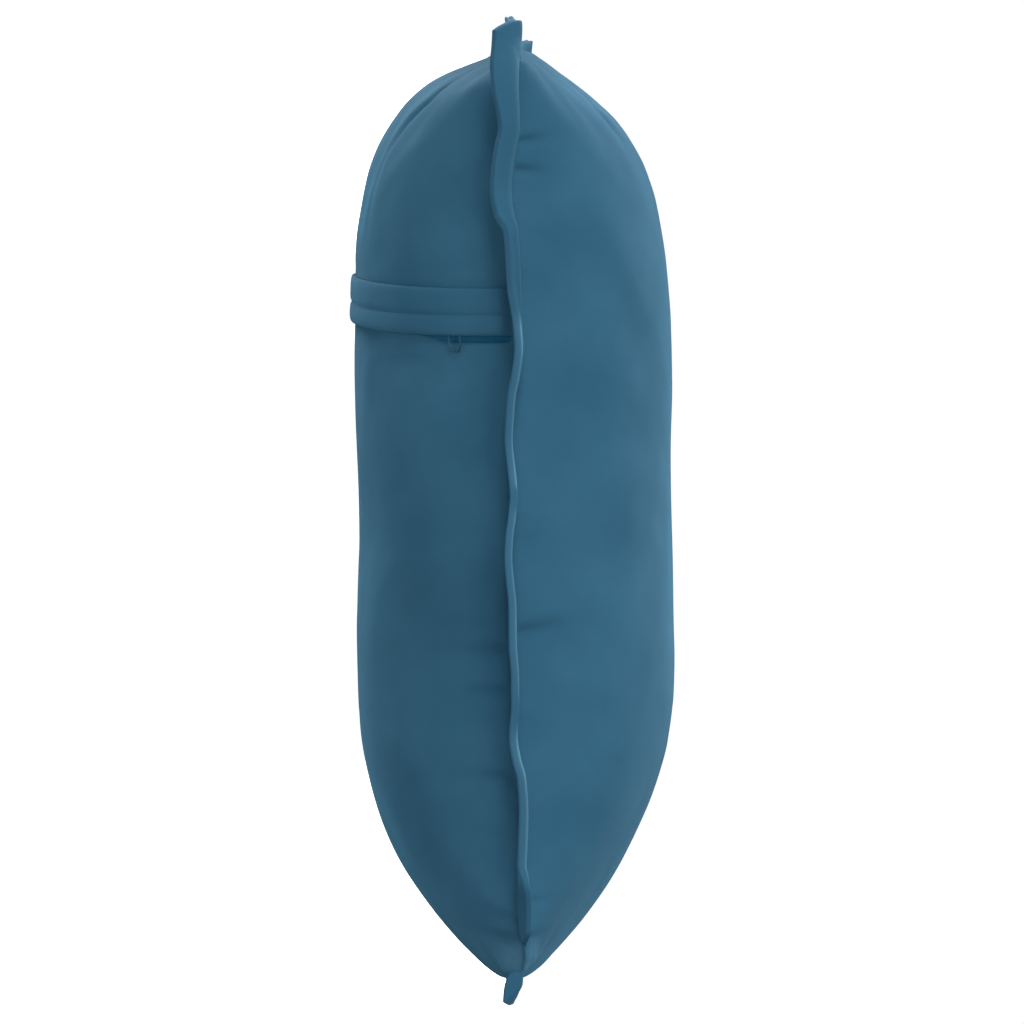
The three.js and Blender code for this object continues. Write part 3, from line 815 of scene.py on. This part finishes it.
def cloth_puckers(angle_s, angle_t):
    """Puckers of the filled cloth beside its seam, for the front and the back: a coarse copy of
    the sewn cover, cut a little larger than its shape and held at the seam, is filled in a cloth
    simulation, and what it does at the scale of a pucker is read off."""
    coarse_s = stations(SIM_ACROSS, lambda a: np.ones_like(a))
    coarse_t = stations(SIM_ALONG, lambda a: np.ones_like(a))
    points, faces, front, back, edge = sewn(coarse_s, coarse_t, surface)
    mesh = bpy.data.meshes.new("cover")
    mesh.from_pydata((points * MM).tolist(), [], faces.tolist())
    piece = bpy.data.objects.new("cover", mesh)
    bpy.context.scene.collection.objects.link(piece)
    held = piece.vertex_groups.new(name="seam")
    held.add(np.flatnonzero(edge).tolist(), 1.0, "REPLACE")
    cloth = piece.modifiers.new("cloth", "CLOTH")
    for name, value in SIM_CLOTH.items():
        setattr(cloth.settings, name, value)
    cloth.settings.vertex_group_mass = "seam"
    cloth.settings.effector_weights.gravity = 0
    cloth.collision_settings.use_collision = False
    cloth.point_cache.frame_end = SIM_FRAMES
    for at in range(1, SIM_FRAMES + 1):
        bpy.context.scene.frame_set(at)
    done = piece.evaluated_get(bpy.context.evaluated_depsgraph_get())
    moved = np.array([v.co[:] for v in done.data.vertices]) / MM - points
    bpy.data.objects.remove(piece)
    bpy.data.meshes.remove(mesh)
    bpy.context.scene.frame_set(1)
    shape = (SIM_ACROSS + 1, SIM_ALONG + 1)
    puckers = {}
    for face, numbers in ((1, front), (-1, back)):
        at = points[numbers].reshape(*shape, 3)
        out = (moved[numbers].reshape(*shape, 3) * normals(at, face)).sum(axis=-1)
        out = np.clip(blur(out, 1) - blur(out, SIM_WIDE), -SIM_MOST, SIM_MOST)
        rows = np.array([np.interp(angle_t, coarse_t, row) for row in out])
        fine = np.array([np.interp(angle_s, coarse_s, column) for column in rows.T]).T
        puckers[face] = blur(fine, 2)
    return puckers


# Painted shade on the cushion: how much for each millimetre of crease, and in a band below the
# zip cover, where it begins and ends along s with its fades.
CREASE_SHADE = 0.09
BAND_SHADE = 0.3
BAND_DOWN = 32
BAND_HALF = 5
BAND_FROM = -0.83
BAND_FROM_FADE = 0.12
BAND_TO = -0.5
BAND_TO_FADE = 0.4
# Soft patches of painted highlight and painted shade, also set by comparing tones.
PaintedPatch = namedtuple("PaintedPatch", "x y z reach_x reach_y reach_z opened laid")
PAINTED_PATCHES = table(
    PaintedPatch,
    (-262, -256, 85, 30, 11, 15, 0.32, 0.0),
    (-258, -238, 113, 30, 18, 16, 0.0, 0.18),
    (-262, -241, 86, 30, 4.5, 8, 0.0, 0.35),
    (-150, 264, 98, 170, 20, 34, 0.0, 0.5),
    (-250, -46, 45, 60, 45, 50, 0.0, 0.28),
)


def paint(piece, share, values):
    """A share of painted highlight or painted shade at each point of a piece, for the velvet to
    read.
    """
    layer = piece.data.attributes.new(share, "FLOAT", "POINT")
    layer.data.foreach_set("value", np.asarray(values, float).ravel())


# Cushion. Its points lie closer together on the left, which the camera sees, round the zip and
# beside the creases.
LEFT_DENSER = 0.35
DENSE_EVEN = 1.25
DENSE_MORE = 1.4
ZIP_Y = 122
ZIP_DENSE_HALF = 26
CREASE_DENSE_HALF = 7


def cushion():
    angle_s = stations(ACROSS, lambda a: DENSE_EVEN - LEFT_DENSER * np.sign(a))

    def dense(a):
        y = plan_y(0, np.sin(a))
        near = sum(np.exp(-(((y - c.at) / CREASE_DENSE_HALF) ** 2)) for c in CREASES)
        zipped = np.exp(-(((y - ZIP_Y) / ZIP_DENSE_HALF) ** 2))
        return 1 + DENSE_MORE * np.clip(zipped + near, 0, 1)

    angle_t = stations(ALONG, dense)
    puckers = cloth_puckers(angle_s, angle_t)

    def filled(face, s, t):
        p = surface(face, s, t)
        across = side_fullness(s)
        full = side_fullness(t)
        press = crease_depth(face, p) + fold_depth(p)
        swell = unevenness(face, p)
        press = press + swell * smooth(across * SWELL_RISE) * smooth(full * SWELL_RISE)
        pucker = puckers[face] * SIM_SHARE
        if face < 0:
            press = press + zip_dip(p, s) * smooth(across * DIP_RISE)
            press = np.where(press < 0, press * smooth(p[..., 2] / REST_FADE), press)
            down = flap_top_y(s) - p[..., 1]
            calm = smooth((down + CALM_ABOVE) / CALM_FADE)
            pucker = pucker * (1 - calm * smooth((CALM_BELOW - down) / CALM_FADE))
        press = press - pucker
        press[0] = press[-1] = 0
        press[:, 0] = press[:, -1] = 0
        p = p - normals(p, face) * press[..., None]
        p[..., 2] = np.clip(p[..., 2], 0, FULL_DEPTH)
        return p

    points, faces, front, back, edge = sewn(angle_s, angle_t, filled)
    piece = build("cushion_body", points, faces.tolist(), ["cushion"], VELVET)
    s, t = np.meshgrid(np.sin(angle_s), np.sin(angle_t), indexing="ij")
    # Painted shade in creases and below the zip cover's lip; patches of painted highlight and
    # shade.
    laid = np.zeros(len(points))
    for face, numbers in ((1, front), (-1, back)):
        plain = surface(face, s, t)
        shade_here = CREASE_SHADE * np.clip(crease_depth(face, plain), 0, None)
        if face < 0:
            down = flap_top_y(s) - plain[..., 1]
            band = BAND_SHADE * np.exp(-(((down - BAND_DOWN) / BAND_HALF) ** 2))
            begun = smooth((s - BAND_FROM) / BAND_FROM_FADE)
            shade_here += band * begun * (1 - smooth((s - BAND_TO) / BAND_TO_FADE))
        laid[numbers] = np.maximum(laid[numbers], shade_here.ravel())
    laid[front[edge]] = 0
    opened = np.zeros(len(points))
    for patch in PAINTED_PATCHES:
        near = np.exp(-(((points - patch[:3]) / patch[3:6]) ** 2).sum(axis=1))
        opened += patch.opened * near
        laid += patch.laid * near
    paint(piece, "laid", np.clip(laid, 0, 1))
    paint(piece, "opened", opened)
    return piece


# Flange: its cut width, the places round the seam along each end and each side, how much closer
# they are in the middle than at the corners, the points across it on each face and the steps in
# each of the two folds of its edge.
END_PLACES = 300
SIDE_PLACES = 420
MIDDLE_DENSER = 1.5
SECTION_POINTS = 14
FOLD_STEPS = 8
# The tail at the lower left thickens to the rim, and the groove of the top edge opens, over
# END_FADE.
TAIL_LONG = 6
GROOVE_FROM = 10
END_FADE = 20
# Edge: the front fold's half of the thickness and how much the balance adds to it, how far its
# folds turn past the half circle, how deep the groove's bottom lies and how much shorter the back
# fold is.
FRONT_SHARE = 0.5
FRONT_SWAY = 0.12
FOLD_TURN = 0.3
GROOVE_BOTTOM = 0.4
BACK_SHORTER = 0.15
# Balance between the two folds along the flange: its mean, a slow beat, a small ripple and its
# limits.
BALANCE_EVEN = 1.3
BEAT = 0.8
BEAT_LENGTHS = (21, 47)
BEAT_PHASE = 0.5
RIPPLE = 0.15
RIPPLE_LENGTH = 9
BALANCE_LIMITS = (-0.5, 2.6)
# Where the edge starts, as a share of the width, and how the thickness grows to it.
EDGE_LIMITS = (0.3, 0.95)
THICKENS = 1.2


def fan(value, corner, reach=CORNER_FAN):
    """How far the flange has turned round a corner: 0 before it starts to, and 1 at the corner."""
    return np.clip(1 - (np.abs(corner) - np.abs(value)) / reach, 0, None) ** 2


def seam_places(count):
    """count + 1 places from -1 to 1."""
    places = np.sin(stations(count, lambda a: 1 + MIDDLE_DENSER * np.cos(a) ** 2))
    places[0], places[-1] = -1, 1
    return places


def ring_stations():
    """Places along the seam, in order round the cushion: its point there, the flange's ridge and
    edge, how far it goes in x and y, half of its thickness and its groove."""
    parts = []

    def add(s, t, rows, at, dx, dy, half=RIM_HALF, groove=RIM_GROOVE):
        s, t = np.broadcast_arrays(np.asarray(s, float), np.asarray(t, float))
        root = surface(1, s, t)
        level = plan_y(0, t)
        full = (curve(SECTION, "front", level) - curve(SECTION, "back", level)) / FULL_DEPTH
        ridge, edge = curve(rows, "ridge", at), curve(rows, "edge", at)
        if rows in (LEFT, RIGHT):
            less = MORE_X * smooth(full / GROOVE_FADE)
            dx = np.sign(dx) * np.maximum(np.abs(dx) - less, FLANGE_SHORTEST)
        else:
            less = MORE_Y * smooth(side_fullness(s) / GROOVE_FADE)
            dy = dy - np.sign(dy) * less
        columns = [root[:, 0], root[:, 1], root[:, 2], ridge, edge, dx, dy, half, groove]
        parts.append(np.column_stack([np.broadcast_to(c, ridge.shape) for c in columns]))

    ends, sides = seam_places(END_PLACES), seam_places(SIDE_PLACES)

    def side_fan(y, low_wide, high_wide, low_reach):
        low = -low_wide * fan(y, BOTTOM_CORNER_Y, low_reach)
        return np.where(y < 0, low, high_wide * fan(y, TOP_CORNER_Y))

    s = ends[:-1]
    x = s * CORNER_X
    left = -LEFT[0].wide * fan(x, CORNER_X, TUCKED_FAN_END)
    side = np.where(s < 0, left, RIGHT[0].wide * fan(x, CORNER_X))
    inner = smooth((x + CORNER_X - TAIL_LONG) / END_FADE)
    half = TAIL_HALF + inner * (RIM_HALF - TAIL_HALF)
    add(s, -1.0, BOTTOM, x, side, -curve(BOTTOM, "wide", x), half, inner * END_GROOVE)
    t = sides[:-1]
    y = plan_y(1, t)
    turn = side_fan(y, BOTTOM[-1].wide, TOP[-1].wide, CORNER_FAN)
    add(1.0, t, RIGHT, y, curve(RIGHT, "wide", y), turn)
    s = ends[:0:-1]
    x = s * CORNER_X
    side = np.where(s < 0, -LEFT[-1].wide, RIGHT[-1].wide) * fan(x, CORNER_X)
    groove = END_GROOVE * smooth((x + CORNER_X - GROOVE_FROM) / END_FADE)
    add(s, 1.0, TOP, x, side, curve(TOP, "wide", x), RIM_HALF, groove)
    t = sides[:0:-1]
    y = plan_y(-1, t)
    rim = curve(LEFT_RIM, "half", y), curve(LEFT_RIM, "groove", y)
    turn = side_fan(y, BOTTOM[0].wide, TOP[0].wide, TUCKED_FAN_SIDE)
    add(-1.0, t, LEFT, y, -curve(LEFT, "wide", y), turn, *rim)
    return np.concatenate(parts)


def rim_section(half, groove, balance):
    """Offsets of the free edge along and off the middle line, from its front to its back: two
    rounded folds with a groove between them, or one round roll where the groove closes."""
    share = np.clip(groove / RIM_GROOVE, 0, 1)
    front = half * (FRONT_SHARE + FRONT_SWAY * balance)
    back = half - front
    along, off = [], []
    count = 2 * FOLD_STEPS + 1
    for k in range(count):
        angle = np.pi * (k + 0.5) / count
        round_along = half * (np.sin(angle) ** RIM_SQUARE - 1)
        round_off = half * np.sign(np.cos(angle)) * abs(np.cos(angle)) ** RIM_SQUARE
        if k < FOLD_STEPS:
            turn = np.pi * (k + 0.5) / (FOLD_STEPS + FOLD_TURN)
            two_along = front * (np.sin(turn) - 1)
            two_off = half - front + front * np.cos(turn)
        elif k == FOLD_STEPS:
            two_along = -front - groove * GROOVE_BOTTOM
            two_off = half - 2 * front
        else:
            turn = np.pi * (count - k - 0.5) / (FOLD_STEPS + FOLD_TURN)
            two_along = back * (np.sin(turn) - 1) - BACK_SHORTER
            two_off = -(half - back) - back * np.cos(turn)
        along.append(round_along + share * (two_along - round_along))
        off.append(round_off + share * (two_off - round_off))
    return along, off


def flange():
    data = ring_stations()
    root, ridge, edge, dx, dy = data[:, :3], data[:, 3], data[:, 4], data[:, 5], data[:, 6]
    half, groove = data[:, 7], data[:, 8]
    wide = np.hypot(dx, dy)
    out = np.stack([dx / wide, dy / wide, 0 * wide], axis=1)
    root = root + FLANGE_ROOT_GAP * out
    bend = RIDGE_OUT * wide
    rest = wide - bend
    rise = edge - ridge
    level = np.maximum(np.sqrt(np.clip(rest**2 - rise**2, 0, None)), FLANGE_LEAST * rest)
    length = np.concatenate([[0], np.cumsum(np.linalg.norm(np.diff(root, axis=0), axis=1))])
    slow, slower = BEAT_LENGTHS
    beat = BEAT * np.sin(length / slow + BEAT_PHASE) * np.sin(length / slower)
    balance = BALANCE_EVEN + beat + RIPPLE * np.sin(length / RIPPLE_LENGTH)
    balance = np.clip(balance, *BALANCE_LIMITS)
    tip = np.clip(1 - half / wide, *EDGE_LIMITS)
    shares = np.outer(tip, np.linspace(0, 1, SECTION_POINTS))
    shares = np.column_stack([shares, np.ones_like(wide)])
    f = np.clip(shares / RIDGE_OUT, 0, 1)
    g = np.clip((shares - RIDGE_OUT) / (1 - RIDGE_OUT), 0, 1)
    middle = root[:, None] + out[:, None] * (f * bend[:, None] + g * level[:, None])[..., None]
    middle[..., 2] = root[:, 2:] + f * (ridge - root[:, 2])[:, None] + g * rise[:, None]
    middle[:, 1:-2] = (middle[:, :-3] + 2 * middle[:, 1:-2] + middle[:, 2:-1]) / 4
    middle[:, 0] -= (FLANGE_ROOT_GAP + FLANGE_TUCK) * out
    away = np.gradient(middle, axis=1)
    away /= np.linalg.norm(away, axis=-1, keepdims=True)
    around = np.roll(middle, -2, axis=0) - np.roll(middle, 2, axis=0)
    upward = np.cross(away, around)
    upward /= np.maximum(np.linalg.norm(upward, axis=-1, keepdims=True), 1e-6)
    growth = smooth(np.linspace(0, 1, SECTION_POINTS)) ** THICKENS
    thick = ROOT_HALF + (half[:, None] - ROOT_HALF) * growth
    lift = upward[:, :-1] * thick[..., None]
    above, below = middle[:, :-1] + lift, middle[:, :-1] - lift
    edges = [
        middle[:, -1] + along[:, None] * away[:, -1] + off[:, None] * upward[:, -1]
        for along, off in zip(*rim_section(half, groove, balance))
    ]
    rings = [*above[:, :-1].swapaxes(0, 1), *edges, *below[:, -2::-1].swapaxes(0, 1)]
    points = np.stack(rings, axis=1)
    rows, columns = points.shape[:2]
    points = points.reshape(-1, 3)
    faces = outward_faces(points, grid_faces(rows, columns, True, True))
    piece = build("flange_cloth", points, faces.tolist(), ["flange"], VELVET)
    # Painted highlight along the left flange's front fold, and painted shade over it.
    on_left = root[:, 0] < FLANGE_PAINTED_LIGHT_X
    over_rim, over_bend = np.zeros(columns), np.zeros(columns)
    over_rim[SECTION_POINTS - 1 : SECTION_POINTS - 1 + len(HIGHLIGHT_RIM)] = HIGHLIGHT_RIM
    over_bend[: len(HIGHLIGHT_BEND)] = HIGHLIGHT_BEND
    drooped = smooth((root[:, 1] - DROOPED) / DROOP_FADE)[:, None]
    lit = curve(FLANGE_PAINTED_LIGHT, "lit", root[:, 1]) * on_left
    paint(piece, "opened", lit[:, None] * (over_rim + drooped * (over_bend - over_rim)))
    laid = curve(FLANGE_PAINTED_LIGHT, "laid", root[:, 1]) * on_left
    paint(piece, "laid", np.outer(laid, np.ones(columns)))
    return piece


# Zip cover, tape and pull. The sections give points down from the cover's top edge and up from the
# cloth.
FLAP_SECTION = [
    (1.2, 0.0),
    (0.3, 0.5),
    (0.0, 1.2),
    (0.5, 1.9),
    (1.8, 2.5),
    (4.5, 2.85),
    (8.0, 3.0),
    (11.5, 3.05),
    (13.8, 2.95),
    (15.0, 2.45),
    (15.8, 2.1),
    (16.5, 2.45),
    (17.4, 2.95),
    (19.2, 3.2),
    (22.0, 3.4),
    (24.5, 3.4),
    (26.2, 3.1),
    (27.3, 2.5),
    (27.7, 1.8),
    (27.4, 1.2),
    (26.4, 0.6),
]
TAPE_SECTION = [(22.0, -1.5), (22.0, -0.8), (31.6, -0.8), (31.6, -1.5)]
STRIP_PLACES = 260
# Pull loop: where its middle hangs, half of its width and height, the radius of its wire, how far
# it narrows and sags to its lower end, how square it is, and the steps along and round the wire.
PULL_S = -0.966
PULL_DOWN = 31.6
PULL_UP = 2.4
PULL_HALF_WIDE = 3.4
PULL_HALF_LONG = 5.6
PULL_WIRE = 0.5
PULL_WIDEST = 1.08
PULL_NARROWS = 0.14
PULL_SAG = 0.35
PULL_SQUARE = 0.75
PULL_STEPS = 48
WIRE_STEPS = 12


def over_back(u, down, up):
    """Points over the back, given down from the zip cover's top edge and up from the cloth."""
    s = np.sin(u * np.pi / 2)
    t = at_y(s, flap_top_y(s) - down)
    p = surface(-1, s, t) + outward(-1, u, t) * up
    p[..., 2] = np.clip(p[..., 2], 0, None)
    return p


def strip(name, section, replaced, material):
    """A closed strip across the back, with one section all along it."""
    u = np.sin(np.linspace(-np.pi / 2, np.pi / 2, STRIP_PLACES)) * FLAP_SPAN
    taper = 1 - FLAP_THINS * smooth((np.abs(u) - FLAP_SPAN + FLAP_TAPER) / FLAP_TAPER)[:, None]
    rings = [over_back(u, down, up * taper) for down, up in section]
    points = np.stack(rings, axis=1)
    rows, columns = points.shape[:2]
    faces = grid_faces(rows, columns, False, True)
    flat = points.reshape(-1, 3)
    faces = outward_faces(flat, faces).tolist()
    ends = [list(range(columns)), list(range((rows - 1) * columns, rows * columns))]
    piece = build(name, flat, faces + ends, replaced, material)
    return piece


def pull():
    """The zip pull: a loop of wire, nearly square, that hangs below the cover's lip."""
    u = np.array([2 * math.asin(PULL_S) / math.pi])
    t = np.array([at_y(PULL_S, flap_top_y(PULL_S) - PULL_DOWN)])
    above, centre, below = (over_back(u, PULL_DOWN + move, PULL_UP)[0] for move in (-1, 0, 1))
    normal = outward(-1, u, t)[0]
    down = below - above
    down /= np.linalg.norm(down)
    side = np.cross(down, normal)
    angle = np.linspace(0, 2 * np.pi, PULL_STEPS, endpoint=False)
    c, d = np.cos(angle), np.sin(angle)
    wide = PULL_HALF_WIDE * (PULL_WIDEST - PULL_NARROWS * d)
    across = wide * np.sign(c) * np.abs(c) ** PULL_SQUARE
    along = PULL_HALF_LONG * np.sign(d) * np.abs(d) ** PULL_SQUARE
    path = centre + np.outer(across, side) + np.outer(along, down)
    path -= np.outer(PULL_SAG * (1 + d), normal)
    ahead = np.roll(path, -1, axis=0) - np.roll(path, 1, axis=0)
    away = np.cross(ahead, normal)
    away /= np.linalg.norm(away, axis=1, keepdims=True)
    turn = np.linspace(0, 2 * np.pi, WIRE_STEPS, endpoint=False)[None, :, None]
    points = path[:, None] + PULL_WIRE * (np.cos(turn) * away[:, None] + np.sin(turn) * normal)
    rows, columns = points.shape[:2]
    flat = points.reshape(-1, 3)
    faces = outward_faces(flat, grid_faces(rows, columns, True, True))
    return build("pull_loop", flat, faces.tolist(), ["zip_pull"], COATED)


body = cushion()
flange()
strip("zip_cover", FLAP_SECTION, ["zip_flap"], VELVET)
strip("zip_edge", TAPE_SECTION, ["zip_tape"], TAPE)
pull()


# Floor, light and camera. The floor's sizes are in metres.
FLOOR_HALF_M = 60.0
FLOOR_DOWN_M = 0.0002
FLOOR_GREY = 0.85
FLOOR_GLOW = 0.96


def floor():
    """A white floor that only the camera sees."""
    material, _, _, shader = shader_of("floor")
    shader.inputs["Base Color"].default_value = (FLOOR_GREY, FLOOR_GREY, FLOOR_GREY, 1)
    shader.inputs["Roughness"].default_value = 1.0
    shader.inputs["Specular IOR Level"].default_value = 0
    shader.inputs["Emission Color"].default_value = (1, 1, 1, 1)
    shader.inputs["Emission Strength"].default_value = FLOOR_GLOW
    signs = (-1, -1), (1, -1), (1, 1), (-1, 1)
    corners = [(x * FLOOR_HALF_M, y * FLOOR_HALF_M, 0) for x, y in signs]
    mesh = bpy.data.meshes.new("floor")
    mesh.from_pydata(corners, [], [(0, 1, 2, 3)])
    mesh.materials.append(material)
    piece = bpy.data.objects.new("floor", mesh)
    piece.location.z = -FLOOR_DOWN_M
    bpy.context.scene.collection.objects.link(piece)
    piece.visible_diffuse = piece.visible_glossy = piece.visible_shadow = False


# Soft studio light: where each lamp is seen from the cushion, how wide it is and how bright.
Lamp = namedtuple("Lamp", "name x y z degrees strength")
LAMPS = table(
    Lamp,
    ("key", -0.53, 0.84, 0.09, 12, 0.34),
    ("fill", -0.35, 0.15, 0.92, 50, 0.17),
    ("front", -0.9, 0.2, 0.35, 60, 0.12),
    ("front_right", -0.75, 0.1, 0.65, 50, 0.68),
    ("left", -0.35, 0.1, -0.93, 50, 0.38),
    ("back_top", 0.75, 0.65, 0.1, 24, 0.6),
    ("back_right", 0.75, 0.05, 0.65, 30, 0.39),
    ("top_left", 0.45, 0.72, -0.52, 30, 0.36),
    ("rim_left", 0.82, 0.5, -0.28, 20, 0.42),
    ("low_left", -0.1, -0.85, -0.52, 40, 0.2),
    ("top_right", 0.6, 0.6, 0.5, 20, 0.32),
)


def lamps():
    for lamp in LAMPS:
        light = bpy.data.lights.new(lamp.name, "SUN")
        light.energy = math.pi * lamp.strength
        light.angle = math.radians(lamp.degrees)
        piece = bpy.data.objects.new(lamp.name, light)
        piece.rotation_euler = Vector(lamp[1:4]).to_track_quat("Z", "Y").to_euler()
        bpy.context.scene.collection.objects.link(piece)


def world(seen, strength):
    """A white backdrop to the eye that gives less light than it shows."""
    made = bpy.data.worlds.new("studio")
    made.use_nodes = True
    nodes, links = made.node_tree.nodes, made.node_tree.links
    path = nodes.new("ShaderNodeLightPath")
    mix = nodes.new("ShaderNodeMix")
    mix.inputs["A"].default_value = strength
    mix.inputs["B"].default_value = seen
    links.new(path.outputs["Is Camera Ray"], mix.inputs["Factor"])
    nodes["Background"].inputs["Color"].default_value = (1, 1, 1, 1)
    links.new(mix.outputs["Result"], nodes["Background"].inputs["Strength"])
    bpy.context.scene.world = made


# The camera's distance, how far it looks down from the cushion's top, its roll, the height that it
# aims at, the photo's scale and its clipping in metres.
FAR = 8000.0
ELEVATION = math.radians(1.0)
ROLL = math.atan(0.02464)
AIM_Z = 93.96
MM_PER_PIXEL = 0.6
IMAGE = 1024
SENSOR = 36
CLIP_M = (0.5, 200)


def camera():
    """Looks along x at the cushion's left side, its front to the right and its top edge up."""
    up_image = Vector((0, math.cos(ROLL), math.sin(ROLL)))
    right = Vector((0, -math.sin(ROLL), math.cos(ROLL)))
    ahead = math.cos(ELEVATION) * Vector((1, 0, 0)) - math.sin(ELEVATION) * up_image
    up = math.cos(ELEVATION) * up_image + math.sin(ELEVATION) * Vector((1, 0, 0))
    data = bpy.data.cameras.new("camera")
    data.sensor_width = SENSOR
    data.lens = data.sensor_width * FAR / (MM_PER_PIXEL * IMAGE)
    data.clip_start, data.clip_end = CLIP_M
    piece = bpy.data.objects.new("camera", data)
    aim = Vector((PLACE[0], PLACE[1], AIM_Z)) * MM
    turn = Matrix((right, up, -ahead)).transposed().to_4x4()
    piece.matrix_world = Matrix.Translation(aim - ahead * FAR * MM) @ turn
    bpy.context.scene.collection.objects.link(piece)
    bpy.context.scene.camera = piece


floor()
world(seen=1.0, strength=0.21)
lamps()
camera()
bpy.context.scene.view_settings.view_transform = "Standard"
